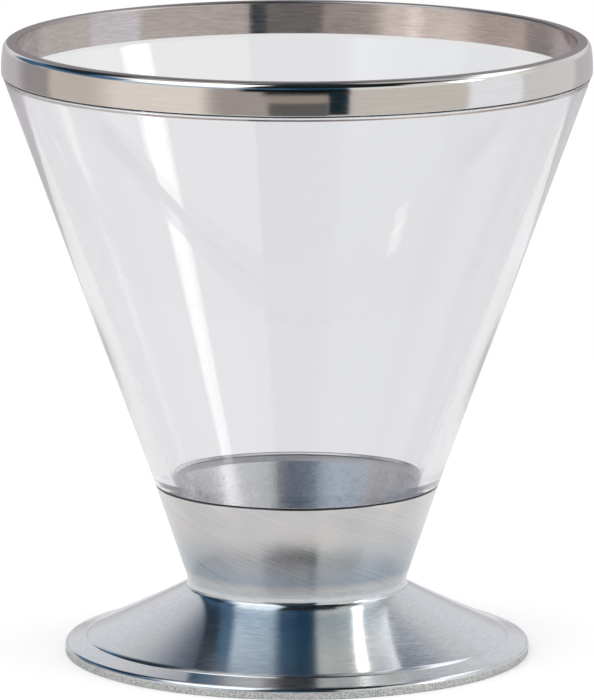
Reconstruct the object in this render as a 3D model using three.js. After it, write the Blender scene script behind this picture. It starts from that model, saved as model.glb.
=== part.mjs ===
// Cocktail glass: a clear cone seated in a cast and turned metal foot, its lip clasped by a metal band.
// Millimetres, +Z up. The origin is the centre of the resting ring, on the surface the glass stands on.
// Every piece is turned about the Z axis from a profile of radius and height.
import * as THREE from 'three';

// Rim band: a ring of channel section, open downwards, that covers the lip.
const rimDiameter = 107;
const rimHeight = 112.7; // crown above the resting plane
const bandWidth = 2.96; // outer face to inner face
const outerSkirtHeight = 5.9;
const innerSkirtHeight = 6.15;
const skirtWall = 0.5;
const crownThickness = 1;
const faceBarrel = 22; // radius of the outer face's curve, seen in section
const faceWidest = 1.1; // the face is widest this far above its lower edge
const faceCurveEnd = 4.2; // above this it runs straight on into the shoulder
const shoulderRound = 1.5;
const crownInnerRound = 0.55;
const skirtEdgeRound = 0.12;
const lipGap = 0.25; // clearance of the lip inside the channel
const channelChamfer = 0.35; // in the channel's outer corner, where the shoulder comes near

// Bowl: a cone with a rebated lip above and a stepped spigot below.
const bowlSetback = 0.2; // bowl inside the band's outer face, just below the band
const ledgeRound = 0.3;
const lipRound = 0.3;
const throatDrop = 0.7; // the straight inner wall runs this far below the inner skirt
const bowlProud = 0.15; // bowl outside the collar at the joint
const shoulderEdgeRound = 0.15;
const spigotWall = 1.72;
const cavityFloorHeight = 20;
const cavityFloorRound = 3;
const floorThickness = 2;
const spigotEdgeRound = 0.8;

// Seals: thin black rings that close the two joints.
const rimSealThickness = 0.18;
const footSealThickness = 0.34;
const sealInset = 0.2; // seals inside the metal's outer face
const seatGap = 0.02; // between a seal and what it touches

// Foot: collar, waist, flared flank and outer ring in one casting, hollow below.
const jointHeight = 31.1; // top of the collar
const collarDiameter = 51.7; // outside, at the top
const collarEdgeRound = 0.12;
const landWidth = 0.9; // flat top of the collar, which carries the seal
const mouthChamferWidth = 0.75;
const mouthChamferDepth = 0.8;
const spigotGap = 0.3; // clearance of the spigot inside the socket
const waistDiameter = 39.2; // where collar and flank would meet without the fillet
const waistHeight = 12.6;
const waistFillet = 2.4;
const socketFloorRound = 1;
const hubThickness = 5.2; // metal between the socket's floor and the hollow below
const flankDiameter = 76.9; // the turned flank ends here, at the step
const flankEndHeight = 3.35;
const flankSag = 0.2; // how far the flank is dished below a straight cone
const stepDepth = 0.22;
const stepWidth = 0.2;
const footDiameter = 84.9;
const ringEdgeHeight = 1.95; // where the outer ring would meet the upright edge without the rounding
const ringEdgeRound = 0.9;
const castEdgeDraft = 0.1; // the upright edge, left as cast, leans in towards the base
const baseEdgeRound = 0.2;
const restingRingWidth = 3.2;
const restingRingFlare = 1.5; // from the resting ring in to where the hollow's sloping roof starts
const restingRingRound = 0.75;
const flankWall = 2.3; // upright thickness of the flank over the hollow
const hollowRound = 1.5;

const turns = 64; // facets round the axis, the same for every piece
const arcStep = THREE.MathUtils.degToRad(22.5); // largest bend between two points of a rounding
const sagSteps = 6;
const faceSteps = 4;

const rimRadius = rimDiameter / 2;
const bandInnerRadius = rimRadius - bandWidth;
const outerSkirtBottom = rimHeight - outerSkirtHeight;
const innerSkirtBottom = rimHeight - innerSkirtHeight;
const channelTop = rimHeight - crownThickness;
const lipOuterRadius = rimRadius - skirtWall - lipGap;
const lipInnerRadius = bandInnerRadius + skirtWall + lipGap;
const ledgeHeight = outerSkirtBottom - rimSealThickness - 2 * seatGap;

const collarRadius = collarDiameter / 2;
const waistRadius = waistDiameter / 2;
const footRadius = footDiameter / 2;
const flankEndRadius = flankDiameter / 2;
const bowlBottomHeight = jointHeight + footSealThickness + 2 * seatGap;
const spigotBottom = cavityFloorHeight - floorThickness;
const socketFloor = spigotBottom - spigotGap;
const hollowTop = socketFloor - hubThickness;
const socketMouthRadius = collarRadius - landWidth - mouthChamferWidth;
const socketMouthHeight = jointHeight - mouthChamferDepth;

// Radius at a height on the collar's cone, shifted so that it passes through the socket's mouth.
function socketRadius(height) {
  const slope = (collarRadius - waistRadius) / (jointHeight - waistHeight);
  return socketMouthRadius + slope * (height - socketMouthHeight);
}

const spigotRadius = (height) => socketRadius(height) - spigotGap;
const cavityRadius = (height) => spigotRadius(height) - spigotWall;

// A point of a profile, with the radius of its rounding, 0 for a sharp corner.
const corner = (radius, height, round = 0) => ({ at: new THREE.Vector2(radius, height), round });

// The arc that replaces a corner: it touches the lines to both neighbours.
function roundedCorner(before, here, after) {
  const toBefore = before.at.clone().sub(here.at).normalize();
  const toAfter = after.at.clone().sub(here.at).normalize();
  const inside = Math.acos(THREE.MathUtils.clamp(toBefore.dot(toAfter), -1, 1));
  const reach = here.round / Math.tan(inside / 2);
  const bisector = toBefore.clone().add(toAfter).normalize();
  const centre = here.at.clone().addScaledVector(bisector, here.round / Math.sin(inside / 2));
  const start = here.at.clone().addScaledVector(toBefore, reach).sub(centre);
  const bend = Math.PI - inside;
  const side = Math.sign(toAfter.cross(toBefore));
  const steps = Math.max(2, Math.ceil(bend / arcStep));
  const origin = new THREE.Vector2();
  return Array.from({ length: steps + 1 }, (_, i) =>
    start.clone().rotateAround(origin, (side * bend * i) / steps).add(centre));
}

// The points of a profile, with its corners rounded. The profile runs anticlockwise, with radius
// to the right and height up, so that the faces point outwards. A closed one returns to its start.
function profilePoints(corners, closed) {
  const count = corners.length;
  const points = corners.flatMap((here, i) => {
    const atEnd = !closed && (i === 0 || i === count - 1);
    if (here.round === 0 || atEnd) return [here.at.clone()];
    return roundedCorner(corners[(i + count - 1) % count], here, corners[(i + 1) % count]);
  });
  if (closed) points.push(points[0].clone());
  return points;
}

// A shallow arc between two corners, bulging to the right of the way by the sag. Both ends are left out.
function saggedCorners(from, to, sag) {
  const along = to.at.clone().sub(from.at);
  const right = new THREE.Vector2(along.y, -along.x).normalize();
  return Array.from({ length: sagSteps - 1 }, (_, i) => {
    const t = (i + 1) / sagSteps;
    const point = from.at.clone().addScaledVector(along, t).addScaledVector(right, 4 * sag * t * (1 - t));
    return corner(point.x, point.y);
  });
}

function turnedPiece(name, corners, closed, material) {
  const geometry = new THREE.LatheGeometry(profilePoints(corners, closed), turns);
  geometry.rotateX(Math.PI / 2); // the lathe turns about Y
  const mesh = new THREE.Mesh(geometry, new THREE.MeshStandardMaterial(material));
  mesh.name = name;
  return mesh;
}

// Radius of the band's outer face at a height above its lower edge.
function faceRadius(rise) {
  const curved = Math.min(rise, faceCurveEnd);
  const slope = (faceCurveEnd - faceWidest) / faceBarrel;
  return rimRadius - (curved - faceWidest) ** 2 / (2 * faceBarrel) - slope * (rise - curved);
}

function rimBand() {
  const inner = bandInnerRadius;
  const channelOuter = rimRadius - skirtWall;
  const face = Array.from({ length: faceSteps }, (_, i) => {
    const rise = (faceCurveEnd * (i + 1)) / faceSteps;
    return corner(faceRadius(rise), outerSkirtBottom + rise);
  });
  return turnedPiece('rim_band', [
    corner(channelOuter, outerSkirtBottom),
    corner(faceRadius(0), outerSkirtBottom, skirtEdgeRound),
    ...face,
    corner(faceRadius(outerSkirtHeight), rimHeight, shoulderRound),
    corner(inner, rimHeight, crownInnerRound),
    corner(inner, innerSkirtBottom, skirtEdgeRound),
    corner(inner + skirtWall, innerSkirtBottom),
    corner(inner + skirtWall, channelTop),
    corner(channelOuter - channelChamfer, channelTop),
    corner(channelOuter, channelTop - channelChamfer),
  ], true, { color: 0xcfc8c0, roughness: 0.22, metalness: 1 });
}

function rimSeal() {
  const inner = lipOuterRadius + seatGap;
  const outer = rimRadius - sealInset;
  const bottom = ledgeHeight + seatGap;
  return turnedPiece('rim_seal', [
    corner(inner, bottom),
    corner(outer, bottom),
    corner(outer, bottom + rimSealThickness),
    corner(inner, bottom + rimSealThickness),
  ], true, { color: 0x141416, roughness: 0.6, metalness: 0 });
}

function bowl() {
  const ledgeRadius = rimRadius - bowlSetback;
  const bottomRadius = collarRadius + bowlProud;
  const throatHeight = innerSkirtBottom - throatDrop;
  return turnedPiece('bowl', [
    corner(0, spigotBottom),
    corner(spigotRadius(spigotBottom), spigotBottom, spigotEdgeRound),
    corner(spigotRadius(bowlBottomHeight), bowlBottomHeight),
    corner(bottomRadius, bowlBottomHeight, shoulderEdgeRound),
    corner(ledgeRadius, ledgeHeight, ledgeRound),
    corner(lipOuterRadius, ledgeHeight),
    corner(lipOuterRadius, channelTop - lipGap, lipRound),
    corner(lipInnerRadius, channelTop - lipGap, lipRound),
    corner(lipInnerRadius, throatHeight),
    corner(cavityRadius(jointHeight), jointHeight),
    corner(cavityRadius(cavityFloorHeight), cavityFloorHeight, cavityFloorRound),
    corner(0, cavityFloorHeight),
  ], false, { color: 0xe4e4ea, roughness: 0.05, metalness: 0, transparent: true, opacity: 0.3 });
}

function footSeal() {
  const inner = collarRadius - landWidth;
  const outer = collarRadius - sealInset;
  const bottom = jointHeight + seatGap;
  return turnedPiece('foot_seal', [
    corner(inner, bottom),
    corner(outer, bottom),
    corner(outer, bottom + footSealThickness),
    corner(inner, bottom + footSealThickness),
  ], true, { color: 0x141416, roughness: 0.6, metalness: 0 });
}

function foot() {
  const waist = corner(waistRadius, waistHeight, waistFillet);
  const flankEnd = corner(flankEndRadius, flankEndHeight);
  const flank = saggedCorners(flankEnd, waist, -flankSag);
  const flankSlope = (waistHeight - flankEndHeight) / (flankEndRadius - waistRadius);
  const restInner = footRadius - castEdgeDraft - restingRingWidth;
  const roofRadius = restInner - restingRingFlare;
  const roofHeight = (radius) => flankEndHeight + flankSlope * (flankEndRadius - radius) - flankWall;
  const hollowTopRadius = flankEndRadius - (hollowTop - roofHeight(flankEndRadius)) / flankSlope;
  return turnedPiece('foot', [
    corner(0, hollowTop),
    corner(hollowTopRadius, hollowTop, hollowRound),
    corner(roofRadius, roofHeight(roofRadius), restingRingRound),
    corner(restInner, 0),
    corner(footRadius - castEdgeDraft, 0, baseEdgeRound),
    corner(footRadius, ringEdgeHeight, ringEdgeRound),
    corner(flankEndRadius + stepWidth, flankEndHeight - stepDepth),
    flankEnd,
    ...flank,
    waist,
    corner(collarRadius, jointHeight, collarEdgeRound),
    corner(collarRadius - landWidth, jointHeight),
    corner(socketMouthRadius, socketMouthHeight),
    corner(socketRadius(socketFloor), socketFloor, socketFloorRound),
    corner(0, socketFloor),
  ], false, { color: 0xc9cbcd, roughness: 0.28, metalness: 1 });
}

const glass = new THREE.Group();
glass.add(foot(), footSeal(), bowl(), rimSeal(), rimBand());

export default glass;
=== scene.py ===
import math

import bmesh
import bpy
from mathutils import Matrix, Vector


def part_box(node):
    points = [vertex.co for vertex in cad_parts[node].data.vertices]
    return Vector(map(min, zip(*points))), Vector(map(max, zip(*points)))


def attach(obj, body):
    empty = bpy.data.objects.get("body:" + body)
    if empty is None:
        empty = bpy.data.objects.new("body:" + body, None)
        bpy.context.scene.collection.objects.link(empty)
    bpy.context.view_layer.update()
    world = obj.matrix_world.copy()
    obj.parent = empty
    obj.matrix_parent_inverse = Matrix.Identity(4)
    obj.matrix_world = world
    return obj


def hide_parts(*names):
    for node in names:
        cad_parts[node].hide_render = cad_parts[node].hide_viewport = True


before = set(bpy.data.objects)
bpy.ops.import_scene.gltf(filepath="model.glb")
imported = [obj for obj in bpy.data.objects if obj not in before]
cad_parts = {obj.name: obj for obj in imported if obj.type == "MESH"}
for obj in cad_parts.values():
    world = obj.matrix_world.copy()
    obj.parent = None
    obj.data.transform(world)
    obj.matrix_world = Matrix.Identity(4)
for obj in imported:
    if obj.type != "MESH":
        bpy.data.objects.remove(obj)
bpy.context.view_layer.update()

mm = 0.001
spinSteps = 256
holdWidth = 0.06 * mm  # strips beside the edges of a long face, so that its own shading stays true
longFace = 1.0 * mm  # what is shorter is part of a curve
sharpAngle = 28  # degrees between two faces from which an edge stays sharp
print("frame loaded:", ", ".join(sorted(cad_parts)))

# camera, fitted to the ellipses of rim, joint and foot
viewpoint = {
    "distance": 1.5048,
    "height": 0.33016,
    "pitch": 10.337,  # degrees below the horizon
    "lens": 432.35,
}


def addCamera(look):
    data = bpy.data.cameras.new("photoCamera")
    data.lens = look["lens"]
    data.clip_end = 20
    camera = bpy.data.objects.new("photoCamera", data)
    camera.location = (0, -look["distance"], look["height"])
    camera.rotation_euler = (math.radians(90 - look["pitch"]), 0, 0)
    bpy.context.collection.objects.link(camera)
    bpy.context.scene.camera = camera


addCamera(viewpoint)


# cuts a short strip off both ends of every long line of a wire
def holdEdges(bm):
    for edge in [edge for edge in bm.edges if edge.calc_length() > longFace]:
        near, far = edge.verts
        cut = bmesh.utils.edge_split(edge, near, holdWidth / edge.calc_length())[1]
        rest = next(part for part in cut.link_edges if part.other_vert(cut) == far)
        bmesh.utils.edge_split(rest, far, holdWidth / rest.calc_length())


# pieces are spun about Z from a wire of (radius, height, rounding) in millimetres
def spinProfile(name, corners, closed, arcSegments=8):
    bm = bmesh.new()
    places = [Vector((radius * mm, 0, height * mm)) for radius, height, rounding in corners]
    verts = [bm.verts.new(place) for place in places]
    for start, end in zip(verts, verts[1:]):
        bm.edges.new((start, end))
    if closed:
        bm.edges.new((verts[-1], verts[0]))
    for i, (radius, height, rounding) in enumerate(corners):
        if not rounding:
            continue
        before = places[i - 1] - places[i]
        after = places[(i + 1) % len(places)] - places[i]
        cut = rounding * mm / math.tan(before.angle(after) / 2)
        bmesh.ops.bevel(bm, geom=[verts[i]], offset=cut, offset_type="OFFSET", segments=arcSegments,
                        profile=0.5, affect="VERTICES", material=-1, clamp_overlap=False)
    holdEdges(bm)
    bmesh.ops.spin(bm, geom=bm.verts[:] + bm.edges[:], cent=(0, 0, 0), axis=(0, 0, 1), dvec=(0, 0, 0),
                   angle=2 * math.pi, steps=spinSteps, use_merge=True, use_duplicate=False)
    bmesh.ops.remove_doubles(bm, verts=bm.verts[:], dist=0.001 * mm)
    bmesh.ops.recalc_face_normals(bm, faces=bm.faces[:])
    mesh = bpy.data.meshes.new(name)
    for face in bm.faces:
        face.smooth = True
    bm.to_mesh(mesh)
    bm.free()
    mesh.set_sharp_from_angle(angle=math.radians(sharpAngle))
    piece = bpy.data.objects.new(name, mesh)
    bpy.context.collection.objects.link(piece)
    return piece


# gives the faces between two corners (radius, height) a finish of their own; facing 1 takes only those
# that look away from the axis, -1 those that look towards it
def finishZone(piece, material, low, high, facing=0):
    piece.data.materials.append(material)
    index = len(piece.data.materials) - 1
    for face in piece.data.polygons:
        centre = face.center
        radius = math.hypot(centre.x, centre.y) / mm
        height = centre.z / mm
        outwards = face.normal.x * centre.x + face.normal.y * centre.y
        inZone = low[0] <= radius <= high[0] and low[1] <= height <= high[1]
        if inZone and outwards * facing >= 0:
            face.material_index = index


def dressPiece(piece, node):
    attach(piece, "root")
    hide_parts(node)


def newMaterial(name):
    material = bpy.data.materials.new(name)
    material.use_nodes = True
    tree = material.node_tree
    return material, tree, tree.nodes["Principled BSDF"]


def addNode(tree, kind, inputs=None, **settings):
    node = tree.nodes.new(kind)
    for key, value in settings.items():
        setattr(node, key, value)
    for key, value in (inputs or {}).items():
        if isinstance(value, bpy.types.NodeSocket):
            tree.links.new(value, node.inputs[key])
        else:
            node.inputs[key].default_value = value
    return node


# a vector that runs round the axis without a seam: around sets how fast it changes round the
# piece, along how fast it changes across, twist slants it
def aroundVector(tree, around, along, twist=0.0):
    place = addNode(tree, "ShaderNodeTexCoord").outputs["Object"]
    flat = addNode(tree, "ShaderNodeVectorMath", {0: place, 1: (1, 1, 0)}, operation="MULTIPLY")
    unit = addNode(tree, "ShaderNodeVectorMath", {0: flat.outputs[0]}, operation="NORMALIZE")
    split = addNode(tree, "ShaderNodeSeparateXYZ", {0: place})
    height = split.outputs["Z"]
    turned = unit.outputs[0]
    if twist:
        angle = addNode(tree, "ShaderNodeMath", {0: height, 1: twist}, operation="MULTIPLY")
        turned = addNode(tree, "ShaderNodeVectorRotate", {"Vector": turned, "Angle": angle.outputs[0]},
                         rotation_type="Z_AXIS").outputs[0]
    wide = addNode(tree, "ShaderNodeVectorMath", {0: turned, "Scale": around}, operation="SCALE")
    radius = addNode(tree, "ShaderNodeVectorMath", {0: flat.outputs[0]}, operation="LENGTH")
    across = addNode(tree, "ShaderNodeMath", {0: height, 1: radius.outputs["Value"]}, operation="SUBTRACT")
    lifted = addNode(tree, "ShaderNodeMath", {0: across.outputs[0], 1: along}, operation="MULTIPLY")
    up = addNode(tree, "ShaderNodeCombineXYZ", {"Z": lifted.outputs[0]})
    return addNode(tree, "ShaderNodeVectorMath", {0: wide.outputs[0], 1: up.outputs[0]},
                   operation="ADD").outputs[0]


# metal with fine marks in one direction and a slow change of colour and gloss
def brushedMetal(name, look):
    material, tree, shader = newMaterial(name)
    shader.inputs["Metallic"].default_value = 1
    shader.inputs["Anisotropic"].default_value = look["anisotropy"]
    shader.inputs["Anisotropic Rotation"].default_value = 0.25  # marks run round, gloss spreads across them
    marks = addNode(tree, "ShaderNodeTexNoise", {
        "Vector": aroundVector(tree, look["markAround"], look["markAcross"], look.get("twist", 0)),
        "Scale": 1, "Detail": 4, "Roughness": 0.6})
    shader.inputs["Specular Tint"].default_value = look.get("edgeTint", (1, 1, 1, 1))
    place = addNode(tree, "ShaderNodeTexCoord").outputs["Object"]
    patches = addNode(tree, "ShaderNodeTexNoise", {"Vector": place, "Scale": look["patchScale"], "Detail": 3})
    tone = addNode(tree, "ShaderNodeMix", {"Factor": patches.outputs["Fac"], 6: look["darkColour"],
                                           7: look["lightColour"]}, data_type="RGBA")
    shade = addNode(tree, "ShaderNodeMapRange", {0: marks.outputs["Fac"], 1: 0.3, 2: 0.7,
                                                 3: 1 - look["markShade"], 4: 1})
    colour = addNode(tree, "ShaderNodeVectorMath", {0: tone.outputs[2], "Scale": shade.outputs[0]},
                     operation="SCALE").outputs[0]
    # paintedReflection multiplies the colour by height: a painted reflection on the surface, not a real tint
    # of the metal
    if "paintedReflection" in look:
        low, high = look["paintedReflection"][0][0], look["paintedReflection"][-1][0]
        height = addNode(tree, "ShaderNodeSeparateXYZ", {0: place}).outputs["Z"]
        level = addNode(tree, "ShaderNodeMapRange", {0: height, 1: low * mm, 2: high * mm})
        paintedReflectionRamp = addNode(tree, "ShaderNodeValToRGB", {"Fac": level.outputs[0]})
        paintedReflectionRamp.color_ramp.elements[0].color = look["paintedReflection"][0][1]
        paintedReflectionRamp.color_ramp.elements[1].color = look["paintedReflection"][-1][1]
        for at, tint in look["paintedReflection"][1:-1]:
            paintedReflectionRamp.color_ramp.elements.new((at - low) / (high - low)).color = tint
        colour = addNode(tree, "ShaderNodeVectorMath", {0: colour, 1: paintedReflectionRamp.outputs[0]},
                         operation="MULTIPLY").outputs[0]
    tree.links.new(colour, shader.inputs["Base Color"])
    gloss = addNode(tree, "ShaderNodeMapRange", {0: marks.outputs["Fac"], 1: 0.25, 2: 0.75,
                                                 3: look["roughLow"], 4: look["roughHigh"]})
    tree.links.new(gloss.outputs[0], shader.inputs["Roughness"])
    bump = addNode(tree, "ShaderNodeBump", {"Height": marks.outputs["Fac"], "Strength": look["bump"],
                                            "Distance": look["bumpDepth"] * mm})
    tree.links.new(bump.outputs[0], shader.inputs["Normal"])
    if look["anisotropy"]:
        tangent = addNode(tree, "ShaderNodeTangent", direction_type="RADIAL", axis="Z")
        tree.links.new(tangent.outputs[0], shader.inputs["Tangent"])
    return material


def castMetal(name, look):
    material, tree, shader = newMaterial(name)
    shader.inputs["Metallic"].default_value = 1
    place = addNode(tree, "ShaderNodeTexCoord").outputs["Object"]
    grain = addNode(tree, "ShaderNodeTexNoise", {"Vector": place, "Scale": look["grain"], "Detail": 5,
                                                 "Roughness": 0.65})
    tone = addNode(tree, "ShaderNodeValToRGB", {"Fac": grain.outputs["Fac"]})
    tone.color_ramp.elements[0].position = look["darkBelow"]
    tone.color_ramp.elements[0].color = look["darkColour"]
    tone.color_ramp.elements[1].position = look["lightAbove"]
    tone.color_ramp.elements[1].color = look["lightColour"]
    tree.links.new(tone.outputs[0], shader.inputs["Base Color"])
    shader.inputs["Roughness"].default_value = look["roughness"]
    bump = addNode(tree, "ShaderNodeBump", {"Height": grain.outputs["Fac"], "Strength": look["bump"],
                                            "Distance": look["bumpDepth"] * mm})
    tree.links.new(bump.outputs[0], shader.inputs["Normal"])
    return material


def clearGlass(name, look):
    material, tree, shader = newMaterial(name)
    shader.inputs["Base Color"].default_value = look["tint"]
    shader.inputs["Transmission Weight"].default_value = 1
    shader.inputs["IOR"].default_value = look["ior"]
    place = addNode(tree, "ShaderNodeTexCoord").outputs["Object"]
    haze = addNode(tree, "ShaderNodeTexNoise", {"Vector": place, "Scale": look["hazeScale"], "Detail": 2})
    gloss = addNode(tree, "ShaderNodeMapRange", {0: haze.outputs["Fac"], 1: 0.4, 2: 0.7,
                                                 3: look["roughLow"], 4: look["roughHigh"]})
    tree.links.new(gloss.outputs[0], shader.inputs["Roughness"])
    waves = addNode(tree, "ShaderNodeTexNoise", {
        "Vector": aroundVector(tree, look["waveAround"], look["waveAcross"]), "Scale": 1, "Detail": 1})
    bump = addNode(tree, "ShaderNodeBump", {"Height": waves.outputs["Fac"], "Strength": look["bump"],
                                            "Distance": look["bumpDepth"] * mm})
    tree.links.new(bump.outputs[0], shader.inputs["Normal"])
    return material


def sealAndGapShade(name, look):
    material, tree, shader = newMaterial(name)
    shader.inputs["Base Color"].default_value = look["colour"]
    place = addNode(tree, "ShaderNodeTexCoord").outputs["Object"]
    grain = addNode(tree, "ShaderNodeTexNoise", {"Vector": place, "Scale": look["grain"], "Detail": 3})
    gloss = addNode(tree, "ShaderNodeMapRange", {0: grain.outputs["Fac"], 3: look["roughLow"],
                                                 4: look["roughHigh"]})
    tree.links.new(gloss.outputs[0], shader.inputs["Roughness"])
    bump = addNode(tree, "ShaderNodeBump", {"Height": grain.outputs["Fac"], "Strength": look["bump"],
                                            "Distance": look["bumpDepth"] * mm})
    tree.links.new(bump.outputs[0], shader.inputs["Normal"])
    return material


# rim band: a channel section open downwards
bandShape = {
    "width": 2.96,
    "outerSkirt": 5.9,
    "skirtWall": 0.5,
    "crown": 1.0,
    "channelChamfer": 0.35,
    "barrel": 22,  # radius of the outer face's curve
    "widest": 1.1,  # above the outer skirt's edge
    "curveEnd": 4.2,
    "curveSteps": 7,
    "shoulderRound": 1.5,
    "innerRound": 0.55,
    "edgeRound": 0.12,
    "crownEnd": 52.4,  # the satin crown reaches out to this radius
    "crownDepth": 0.4,  # and down its inner edge by this much
}
bandOutside = {
    "anisotropy": 0.3,
    "markAround": 7,
    "markAcross": 1900,
    "patchScale": 40,
    "darkColour": (0.72, 0.7, 0.69, 1),
    "lightColour": (0.81, 0.79, 0.77, 1),
    "markShade": 0.07,
    "roughLow": 0.05,
    "roughHigh": 0.12,
    "bump": 0.1,
    "bumpDepth": 0.004,
}
shadedBandCrown = {
    "anisotropy": 0.0,
    "markAround": 7,
    "markAcross": 1900,
    "patchScale": 40,
    "edgeTint": (0.6, 0.57, 0.57, 1),  # a little darker where it is seen at a low angle
    # darker than the rest of the band: painted shade for the dark reflections seen on the crown; the satin
    # gloss is real
    "darkColour": (0.38, 0.355, 0.355, 1),
    "lightColour": (0.52, 0.485, 0.485, 1),
    "markShade": 0.07,
    "roughLow": 0.26,
    "roughHigh": 0.36,
    "bump": 0.1,
    "bumpDepth": 0.004,
}
bandInside = {
    "anisotropy": 0.85,
    "markAround": 16,
    "markAcross": 3200,
    "patchScale": 60,
    "darkColour": (0.6, 0.55, 0.53, 1),
    "lightColour": (0.82, 0.76, 0.73, 1),
    "markShade": 0.22,
    "roughLow": 0.11,
    "roughHigh": 0.17,
    "bump": 0.16,
    "bumpDepth": 0.006,
}


def makeRimBand(shape):
    low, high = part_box("rim_band")
    outer, top, innerBottom = high.x / mm, high.z / mm, low.z / mm
    inner = outer - shape["width"]
    bottom = top - shape["outerSkirt"]
    wall = shape["skirtWall"]
    ceiling = top - shape["crown"]

    def belly(rise):
        return outer - (rise - shape["widest"]) ** 2 / (2 * shape["barrel"])

    curve = [shape["curveEnd"] * (i + 1) / shape["curveSteps"] for i in range(shape["curveSteps"])]
    shoulderSlope = (shape["curveEnd"] - shape["widest"]) / shape["barrel"]
    shoulder = belly(shape["curveEnd"]) - shoulderSlope * (shape["outerSkirt"] - shape["curveEnd"])
    band = spinProfile("rimBand", [
        (outer - wall, bottom, 0),
        (belly(0), bottom, shape["edgeRound"]),
        *[(belly(rise), bottom + rise, 0) for rise in curve],
        (shoulder, top, shape["shoulderRound"]),
        (inner, top, shape["innerRound"]),
        (inner, innerBottom, shape["edgeRound"]),
        (inner + wall, innerBottom, 0),
        (inner + wall, ceiling, 0),
        (outer - wall - shape["channelChamfer"], ceiling, 0),
        (outer - wall, ceiling - shape["channelChamfer"], 0),
    ], True)
    beyond = (outer + 1, top + 1)
    finishZone(band, brushedMetal("bandOutside", bandOutside), (0, 0), beyond)
    crownLow, crownHigh = (0, top - shape["crownDepth"]), (shape["crownEnd"], beyond[1])
    finishZone(band, brushedMetal("shadedBandCrown", shadedBandCrown), crownLow, crownHigh)
    skirtTop = (inner + shape["edgeRound"] / 2, top - shape["innerRound"])
    finishZone(band, brushedMetal("bandInside", bandInside), (0, 0), skirtTop)
    dressPiece(band, "rim_band")


makeRimBand(bandShape)
print("rim band made")

# bowl: a cone with a rebated lip and a stepped spigot
bowlShape = {
    "setback": 0.2,  # inside the band's outer face
    "sealGap": 0.02,
    "ledgeRound": 0.3,
    "lipRound": 0.3,
    "lipOuter": 52.75,
    "lipInner": 51.29,
    "throatHeight": 105.85,
    "shoulderHeight": 31.48,
    "shoulderRadius": 26.0,
    "shoulderRound": 0.15,
    "spigotTop": 24.298,
    "spigotBottom": 19.743,
    "spigotEdgeRound": 0.8,
    "cavityKneeHeight": 31.1,
    "cavityKnee": 22.45,
    "cavityFloor": 18.7,
    "floorHeight": 20,
    "floorRound": 3,
}
bowlGlass = {
    "tint": (0.945, 0.942, 0.957, 1),
    "ior": 1.49,
    "hazeScale": 120,
    "roughLow": 0.0,
    "roughHigh": 0.03,
    "waveAround": 3,
    "waveAcross": 25,
    "bump": 0.15,
    "bumpDepth": 0.03,
}


def makeBowl(shape):
    low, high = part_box("bowl")
    bottom, top = low.z / mm, high.z / mm
    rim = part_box("rim_band")[1].x / mm - shape["setback"]
    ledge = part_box("rim_seal")[0].z / mm - shape["sealGap"]
    bowl = spinProfile("bowlGlass", [
        (0, bottom, 0),
        (shape["spigotBottom"], bottom, shape["spigotEdgeRound"]),
        (shape["spigotTop"], shape["shoulderHeight"], 0),
        (shape["shoulderRadius"], shape["shoulderHeight"], shape["shoulderRound"]),
        (rim, ledge, shape["ledgeRound"]),
        (shape["lipOuter"], ledge, 0),
        (shape["lipOuter"], top, shape["lipRound"]),
        (shape["lipInner"], top, shape["lipRound"]),
        (shape["lipInner"], shape["throatHeight"], 0),
        (shape["cavityKnee"], shape["cavityKneeHeight"], 0),
        (shape["cavityFloor"], shape["floorHeight"], shape["floorRound"]),
        (0, shape["floorHeight"], 0),
    ], False, arcSegments=12)
    bowl.data.materials.append(clearGlass("bowlGlass", bowlGlass))
    bowl.visible_shadow = False
    dressPiece(bowl, "bowl")


makeBowl(bowlShape)
print("bowl made")

# seals: thin black rings at the two joints, whose black is partly painted shade for the shadow in the gap of
# each joint
sealShape = {
    "rimInner": 52.77,
    "footInner": 24.95,
    "round": 0.06,
}
sealLook = {
    # near black: partly painted shade for the shadow in the gap at the joint
    "colour": (0.012, 0.012, 0.014, 1),
    "grain": 3000,
    "roughLow": 0.45,
    "roughHigh": 0.7,
    "bump": 0.3,
    "bumpDepth": 0.02,
}


def makeSeals(shape):
    sealAndShade = sealAndGapShade("sealAndGapShade", sealLook)
    rings = [("rimSeal", "rim_seal", shape["rimInner"]), ("footSeal", "foot_seal", shape["footInner"])]
    for name, node, inner in rings:
        low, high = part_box(node)
        outer, bottom, top = high.x / mm, low.z / mm, high.z / mm
        seal = spinProfile(name, [
            (inner, bottom, 0),
            (outer, bottom, shape["round"]),
            (outer, top, shape["round"]),
            (inner, top, 0),
        ], True, arcSegments=3)
        seal.data.materials.append(sealAndShade)
        dressPiece(seal, node)


makeSeals(sealShape)
print("seals made")

# foot: collar with a conical socket, waist, flared flank, step and outer ring
footShape = {
    "collar": 25.85,
    "collarEdgeRound": 0.12,
    "land": 0.9,
    "mouthWidth": 0.75,
    "mouthDepth": 0.8,
    "socketFloor": 17.7,
    "socketFloorRadius": 19.944,
    "socketFloorRound": 1,
    "waist": 19.6,
    "waistHeight": 12.6,
    "waistRound": 2.4,
    "flankEnd": 38.45,
    "flankEndHeight": 3.35,
    "flankSag": 0.2,
    "flankSteps": 24,
    "stepDepth": 0.22,
    "stepWidth": 0.2,
    "ringEdgeHeight": 1.95,
    "ringEdgeRound": 0.9,
    "edge": 42.45,
    "edgeDraft": 0.1,
    "baseRound": 0.2,
    "restWidth": 3.2,
    "restFlare": 1.5,
    "restRound": 0.75,
    "roofDrop": 2.3,
    "roofHeight": 12.5,
    "roofRound": 1.5,
}
footZones = {  # lowest and highest corner as (radius, height), and the way the faces look
    "cast": ((0, -1), (50, 40), 0),
    "flank": ((19.5, 1.35), (42.44, 15), 1),
    "collar": ((19.5, 15), (26, 31.2), 1),
    "socket": ((0, 17.5), (24.3, 30.4), -1),
    "lip": ((24.15, 30.25), (25.7, 31.2), -1),
}
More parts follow.
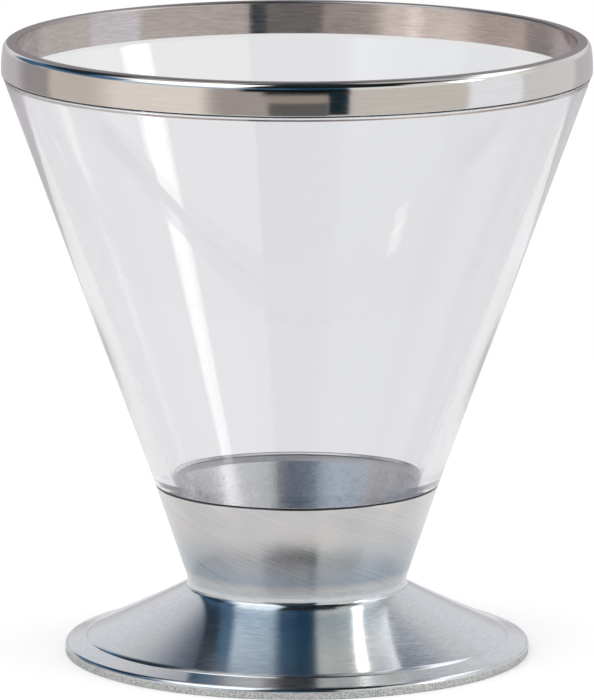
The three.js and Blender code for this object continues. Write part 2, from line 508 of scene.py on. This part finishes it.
collarFinish = {
    "anisotropy": 0.2,
    "markAround": 90,
    "markAcross": 160,
    "twist": 120,
    "patchScale": 70,
    "darkColour": (0.64, 0.65, 0.68, 1),
    "lightColour": (1, 0.955, 0.905, 1),
    # painted reflection of the flank and of the floor in the collar's colour
    "paintedReflection": ((13, (1.05, 1.05, 1.05, 1)), (14.8, (1.05, 1.05, 1.05, 1)), (16.4, (0.7, 0.79, 0.88, 1)),
              (25, (1, 1, 1, 1))),  # painted reflection: bluish towards the waist, where the flank is mirrored, and a painted bright band beside it
    "markShade": 0.26,
    "roughLow": 0.08,
    "roughHigh": 0.22,
    "bump": 0.5,
    "bumpDepth": 0.012,
}
flankFinish = {
    "anisotropy": 0.6,
    "markAround": 14,
    "markAcross": 3000,
    "patchScale": 70,
    "darkColour": (0.67, 0.7, 0.735, 1),
    "lightColour": (0.79, 0.815, 0.84, 1),
    "markShade": 0.16,
    "roughLow": 0.1,
    "roughHigh": 0.2,
    "bump": 0.32,
    "bumpDepth": 0.01,
}
socketFinish = {
    "anisotropy": 0.2,
    "markAround": 12,
    "markAcross": 2500,
    "patchScale": 160,
    "darkColour": (0.7, 0.71, 0.74, 1),
    "lightColour": (0.94, 0.945, 0.96, 1),
    "markShade": 0.2,
    "roughLow": 0.22,
    "roughHigh": 0.36,
    "bump": 0.3,
    "bumpDepth": 0.01,
}
lipFinish = {
    "anisotropy": 0.0,
    "markAround": 8,
    "markAcross": 2500,
    "patchScale": 60,
    "darkColour": (0.8, 0.81, 0.83, 1),
    "lightColour": (0.88, 0.89, 0.9, 1),
    "markShade": 0.05,
    "roughLow": 0.5,
    "roughHigh": 0.6,
    "bump": 0.2,
    "bumpDepth": 0.01,
}
castFinish = {
    "grain": 3400,
    "darkBelow": 0.38,
    "lightAbove": 0.56,
    "darkColour": (0.36, 0.37, 0.36, 1),
    "lightColour": (0.74, 0.75, 0.74, 1),
    "roughness": 0.5,
    "bump": 0.5,
    "bumpDepth": 0.05,
}


def makeFoot(shape):
    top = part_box("foot")[1].z / mm
    mouth = shape["collar"] - shape["land"] - shape["mouthWidth"]
    restInner = shape["edge"] - shape["edgeDraft"] - shape["restWidth"]
    roofOuter = restInner - shape["restFlare"]
    slope = (shape["waistHeight"] - shape["flankEndHeight"]) / (shape["flankEnd"] - shape["waist"])
    roofEdge = shape["flankEndHeight"] - shape["roofDrop"]  # height of the roof below the end of the flank
    roofStart = roofEdge + slope * (shape["flankEnd"] - roofOuter)
    roofInner = shape["flankEnd"] - (shape["roofHeight"] - roofEdge) / slope
    start = Vector((shape["flankEnd"], shape["flankEndHeight"]))
    end = Vector((shape["waist"], shape["waistHeight"]))
    along = end - start
    dish = Vector((-along.y, along.x)).normalized() * shape["flankSag"]
    flank = []
    for i in range(1, shape["flankSteps"]):
        t = i / shape["flankSteps"]
        point = start + along * t + dish * 4 * t * (1 - t)
        flank.append((point.x, point.y, 0))
    foot = spinProfile("footCasting", [
        (0, shape["roofHeight"], 0),
        (roofInner, shape["roofHeight"], shape["roofRound"]),
        (roofOuter, roofStart, shape["restRound"]),
        (restInner, 0, 0),
        (shape["edge"] - shape["edgeDraft"], 0, shape["baseRound"]),
        (shape["edge"], shape["ringEdgeHeight"], shape["ringEdgeRound"]),
        (shape["flankEnd"] + shape["stepWidth"], shape["flankEndHeight"] - shape["stepDepth"], 0),
        (shape["flankEnd"], shape["flankEndHeight"], 0),
        *flank,
        (shape["waist"], shape["waistHeight"], shape["waistRound"]),
        (shape["collar"], top, shape["collarEdgeRound"]),
        (shape["collar"] - shape["land"], top, 0),
        (mouth, top - shape["mouthDepth"], 0),
        (shape["socketFloorRadius"], shape["socketFloor"], shape["socketFloorRound"]),
        (0, shape["socketFloor"], 0),
    ], False, arcSegments=10)
    finishZone(foot, castMetal("castEdge", castFinish), *footZones["cast"])
    finishZone(foot, brushedMetal("turnedFlank", flankFinish), *footZones["flank"])
    finishZone(foot, brushedMetal("satinCollar", collarFinish), *footZones["collar"])
    finishZone(foot, brushedMetal("turnedSocket", socketFinish), *footZones["socket"])
    finishZone(foot, brushedMetal("machinedLip", lipFinish), *footZones["lip"])
    dressPiece(foot, "foot")


makeFoot(footShape)
print("foot made")

# floor
floorLook = {
    "radius": 0.3,
    "colour": (0.9, 0.9, 0.9, 1),
    "roughness": 0.9,
    "cameraLift": 0.2,  # light added for the camera alone, so that the floor ends in white
}


def makeFloor(look):
    bm = bmesh.new()
    bmesh.ops.create_circle(bm, cap_ends=True, cap_tris=False, segments=96, radius=look["radius"])
    mesh = bpy.data.meshes.new("floor")
    bm.to_mesh(mesh)
    bm.free()
    floor = bpy.data.objects.new("floor", mesh)
    bpy.context.collection.objects.link(floor)
    material, tree, shader = newMaterial("floorPaper")
    shader.inputs["Base Color"].default_value = look["colour"]
    shader.inputs["Roughness"].default_value = look["roughness"]
    shader.inputs["Specular IOR Level"].default_value = 0
    path = addNode(tree, "ShaderNodeLightPath").outputs
    lift = addNode(tree, "ShaderNodeMath", {0: path["Is Camera Ray"], 1: look["cameraLift"]},
                   operation="MULTIPLY")
    shader.inputs["Emission Color"].default_value = (1, 1, 1, 1)
    tree.links.new(lift.outputs[0], shader.inputs["Emission Strength"])
    mesh.materials.append(material)


makeFloor(floorLook)

# the studio that metal and glass mirror, painted in this order: angles in degrees, azimuth 0 on the
# camera's side, positive to the right, 180 behind the glass; soft is the width of the left, right,
# lower and upper edge; slant shifts a card to the right by so many degrees for each degree upwards
studioWall = (0.6, 0.58, 0.57, 1)
studioCards = {
    "backdrop": {"azimuth": (135, 225), "elevation": (-36, 36), "soft": (20, 20, 10, 30),
                 "colour": (0.78, 0.78, 0.8, 1)},
    "backdropLow": {"azimuth": (132, 228), "elevation": (-36, 6), "soft": (14, 10, 10, 12),
                    "colour": (0.57, 0.54, 0.57, 1)},
    "upperBack": {"azimuth": (120, 235), "elevation": (42, 60), "soft": (20, 20, 14, 8),
                  "colour": (0.28, 0.31, 0.38, 1)},
    "highBack": {"azimuth": (155, 205), "elevation": (46, 80), "soft": (14, 14, 10, 4),
                 "colour": (0.05, 0.06, 0.08, 1)},
    "leftShade": {"azimuth": (-136, -108), "elevation": (-30, 12), "soft": (14, 8, 10, 12),
                  "colour": (0.36, 0.34, 0.34, 1)},
    "leftWall": {"azimuth": (-112, -34), "elevation": (-30, 40), "soft": (6, 6, 10, 12),
                 "colour": (0.66, 0.59, 0.54, 1)},
    "leftWallLit": {"azimuth": (-80, -34), "elevation": (-30, 40), "soft": (18, 10, 10, 12),
                    "colour": (0.92, 0.84, 0.78, 1)},
    "rightWall": {"azimuth": (21, 101), "elevation": (-30, 48), "soft": (4, 10, 10, 8),
                  "colour": (0.68, 0.64, 0.6, 1)},
    "rightEnd": {"azimuth": (98, 138), "elevation": (-30, 30), "soft": (6, 8, 10, 12),
                 "colour": (0.74, 0.74, 0.72, 1)},
    "rightUpper": {"azimuth": (21, 110), "elevation": (13, 44), "soft": (4, 16, 6, 6),
                   "colour": (0.84, 0.87, 0.83, 1)},
    "overheadPanel": {"azimuth": (-170, -30), "elevation": (59, 78), "soft": (8, 8, 5, 3),
                      "colour": (0.45, 0.44, 0.44, 1)},
    "softbox": {"azimuth": (-96, -20), "elevation": (42, 77), "soft": (10, 8, 8, 3),
                "colour": (1.7, 1.7, 1.7, 1)},
    "leftDoorway": {"azimuth": (-150, -76), "elevation": (18, 44), "soft": (8, 6, 5, 8),
                    "colour": (0.09, 0.2, 0.33, 1)},
    "doorwaySide": {"azimuth": (-150, -126), "elevation": (12, 50), "soft": (8, 10, 6, 8),
                    "colour": (0.06, 0.15, 0.25, 1)},
    "doorwayTop": {"azimuth": (-150, -106), "elevation": (30, 56), "soft": (8, 6, 6, 6), "slant": -0.5,
                   "colour": (0.014, 0.028, 0.045, 1)},
    "lowBlue": {"azimuth": (-78, -16), "elevation": (17, 34), "soft": (8, 14, 5, 8),
                "colour": (0.46, 0.62, 0.76, 1)},
    "lowSoftbox": {"azimuth": (-78, -26), "elevation": (32, 46), "soft": (8, 12, 6, 6),
                   "colour": (1.6, 1.75, 1.85, 1)},
    "window": {"azimuth": (70, 98), "elevation": (-20, 14), "soft": (4, 4, 5, 5),
               "colour": (0.95, 0.97, 1.02, 1)},
    "cameraLeft": {"azimuth": (-34, -6), "elevation": (-30, 20), "soft": (12, 4, 6, 8),
                   "colour": (0.42, 0.37, 0.35, 1)},
    "cameraSide": {"azimuth": (-22, 21), "elevation": (18, 36), "soft": (14, 2, 8, 6),
                   "colour": (0.05, 0.15, 0.28, 1)},
    "cameraRight": {"azimuth": (-2, 21), "elevation": (18, 36), "soft": (12, 2, 8, 6),
                    "colour": (0.01, 0.08, 0.16, 1)},
    "cameraTop": {"azimuth": (-24, 50), "elevation": (35, 82), "soft": (8, 6, 5, 3),
                  "colour": (0.01, 0.012, 0.014, 1)},
    "cameraTopRight": {"azimuth": (46, 88), "elevation": (46, 82), "soft": (4, 10, 6, 3),
                       "colour": (0.01, 0.012, 0.014, 1)},
    "windowLow": {"azimuth": (84, 100), "elevation": (14, 36), "soft": (4, 6, 6, 6),
                  "colour": (1.0, 1.03, 1.0, 1)},
    "windowHigh": {"azimuth": (92, 146), "elevation": (36, 52), "soft": (12, 12, 8, 6), "slant": 1.0,
                   "colour": (1.5, 1.52, 1.55, 1)},
    "stripLight": {"azimuth": (68, 80), "elevation": (20, 34), "soft": (3, 3, 3, 4),
                   "colour": (6, 5.8, 5.4, 1)},
    "cameraFrontLeft": {"azimuth": (-22, -11), "elevation": (8, 22), "soft": (6, 1, 3, 4),
                        "colour": (0.004, 0.007, 0.009, 1)},
    "cameraFront": {"azimuth": (-13, 20.5), "elevation": (4.5, 22), "soft": (5, 1.5, 2, 4),
                    "colour": (0.004, 0.007, 0.009, 1)},
    "tableTop": {"azimuth": (-11, 12), "elevation": (-2.5, 5), "soft": (2, 1.5, 1.5, 2),
                 "colour": (0.36, 0.31, 0.27, 1)},
    "tableEnd": {"azimuth": (-11, 12), "elevation": (-22, -2), "soft": (2, 1.5, 3, 1),
                 "colour": (0.13, 0.13, 0.13, 1)},
    "stand": {"azimuth": (12, 20), "elevation": (-16, 8), "soft": (1, 1, 2, 2),
              "colour": (0.006, 0.022, 0.032, 1)},
    "ceiling": {"azimuth": (-200, 200), "elevation": (77, 120), "soft": (2, 2, 5, 2),
                "colour": (0.02, 0.035, 0.055, 1)},
}
backdropLevel = 0.86  # seen through the glass; the camera itself sees plain white
softLevel = 0.78  # light on matt surfaces
toDegrees = 180 / math.pi


# one soft-edged rectangle over what is painted so far
def paintCard(tree, way, elevation, card, before):
    # the card's own centre is turned to azimuth zero, so that no card meets the seam
    left, right = card["azimuth"]
    low, high = card["elevation"]
    halfWidth = (right - left) / 2
    halfHeight = (high - low) / 2
    turned = addNode(tree, "ShaderNodeVectorRotate",
                     {"Vector": way, "Angle": -math.radians((left + right) / 2)}, rotation_type="Z_AXIS")
    parts = addNode(tree, "ShaderNodeSeparateXYZ", {0: turned.outputs[0]})
    front = addNode(tree, "ShaderNodeMath", {0: parts.outputs["Y"], 1: -1}, operation="MULTIPLY")
    bearing = addNode(tree, "ShaderNodeMath", {0: parts.outputs["X"], 1: front.outputs[0]},
                      operation="ARCTAN2").outputs[0]
    aside = addNode(tree, "ShaderNodeMath", {0: bearing, 1: toDegrees}, operation="MULTIPLY").outputs[0]
    above = addNode(tree, "ShaderNodeMath", {0: elevation, 1: (low + high) / 2},
                    operation="SUBTRACT").outputs[0]
    if "slant" in card:
        shift = addNode(tree, "ShaderNodeMath", {0: above, 1: card["slant"]}, operation="MULTIPLY")
        aside = addNode(tree, "ShaderNodeMath", {0: aside, 1: shift.outputs[0]},
                        operation="SUBTRACT").outputs[0]
    mask = 1.0
    edges = [(aside, -halfWidth, 1), (aside, halfWidth, -1), (above, -halfHeight, 1), (above, halfHeight, -1)]
    for (value, place, side), soft in zip(edges, card["soft"]):
        edge = addNode(tree, "ShaderNodeMapRange", {0: value, 1: place - side * soft / 2,
                                                    2: place + side * soft / 2},
                       interpolation_type="SMOOTHSTEP")
        mask = addNode(tree, "ShaderNodeMath", {0: edge.outputs[0], 1: mask},
                       operation="MULTIPLY").outputs[0]
    return addNode(tree, "ShaderNodeMix", {"Factor": mask, 6: before, 7: card["colour"]},
                   data_type="RGBA").outputs[2]


def makeWorld():
    world = bpy.data.worlds.new("studio")
    world.use_nodes = True
    tree = world.node_tree
    way = addNode(tree, "ShaderNodeTexCoord").outputs["Generated"]
    split = addNode(tree, "ShaderNodeSeparateXYZ", {0: way})
    lift = addNode(tree, "ShaderNodeMath", {0: split.outputs["Z"]}, operation="ARCSINE")
    elevation = addNode(tree, "ShaderNodeMath", {0: lift.outputs[0], 1: toDegrees},
                        operation="MULTIPLY").outputs[0]
    colour = studioWall
    for card in studioCards.values():
        colour = paintCard(tree, way, elevation, card, colour)
    path = addNode(tree, "ShaderNodeLightPath").outputs
    level = addNode(tree, "ShaderNodeMapRange", {0: path["Is Camera Ray"], 3: backdropLevel, 4: 1})
    plain = addNode(tree, "ShaderNodeCombineColor", {channel: level.outputs[0] for channel in range(3)})
    mirrored = addNode(tree, "ShaderNodeMath", {0: path["Glossy Depth"], 1: 0.5}, operation="GREATER_THAN")
    seen = addNode(tree, "ShaderNodeMix", {"Factor": mirrored.outputs[0], 6: plain.outputs[0], 7: colour},
                   data_type="RGBA")
    lit = addNode(tree, "ShaderNodeMix", {"Factor": path["Is Diffuse Ray"], 6: seen.outputs[2],
                                          7: (softLevel, softLevel, softLevel, 1)}, data_type="RGBA")
    tree.links.new(lit.outputs[2], tree.nodes["Background"].inputs["Color"])
    bpy.context.scene.world = world


makeWorld()

# lamps for the matt surfaces and the floor's shadow
lampTarget = Vector((0, 0, 0.06))
lamps = {
    "keyLamp": {"azimuth": -60, "elevation": 52, "distance": 1.4, "width": 0.8, "height": 0.8, "power": 4.5,
                "colour": (1, 1, 1)},
    "fillLamp": {"azimuth": 86, "elevation": 35, "distance": 1.4, "width": 0.8, "height": 0.9, "power": 2.5,
                 "colour": (0.95, 0.97, 1)},
}


def addLamps():
    for name, lamp in lamps.items():
        data = bpy.data.lights.new(name, "AREA")
        data.shape = "RECTANGLE"
        data.size = lamp["width"]
        data.size_y = lamp["height"]
        data.energy = lamp["power"]
        data.color = lamp["colour"]
        azimuth = math.radians(lamp["azimuth"])
        elevation = math.radians(lamp["elevation"])
        way = Vector((math.sin(azimuth) * math.cos(elevation), -math.cos(azimuth) * math.cos(elevation),
                      math.sin(elevation)))
        light = bpy.data.objects.new(name, data)
        light.location = lampTarget + way * lamp["distance"]
        light.rotation_euler = way.to_track_quat("Z", "Y").to_euler()
        light.visible_camera = False
        light.visible_glossy = False
        light.visible_transmission = False
        bpy.context.collection.objects.link(light)


addLamps()

# light goes round in the thick wall of the bowl many times before it leaves
lightPaths = {"max_bounces": 160, "transmission_bounces": 160, "glossy_bounces": 160}
for setting, count in lightPaths.items():
    setattr(bpy.context.scene.cycles, setting, count)
print("studio made")

bpy.context.scene.view_settings.view_transform = "Standard"
print("scene ready")
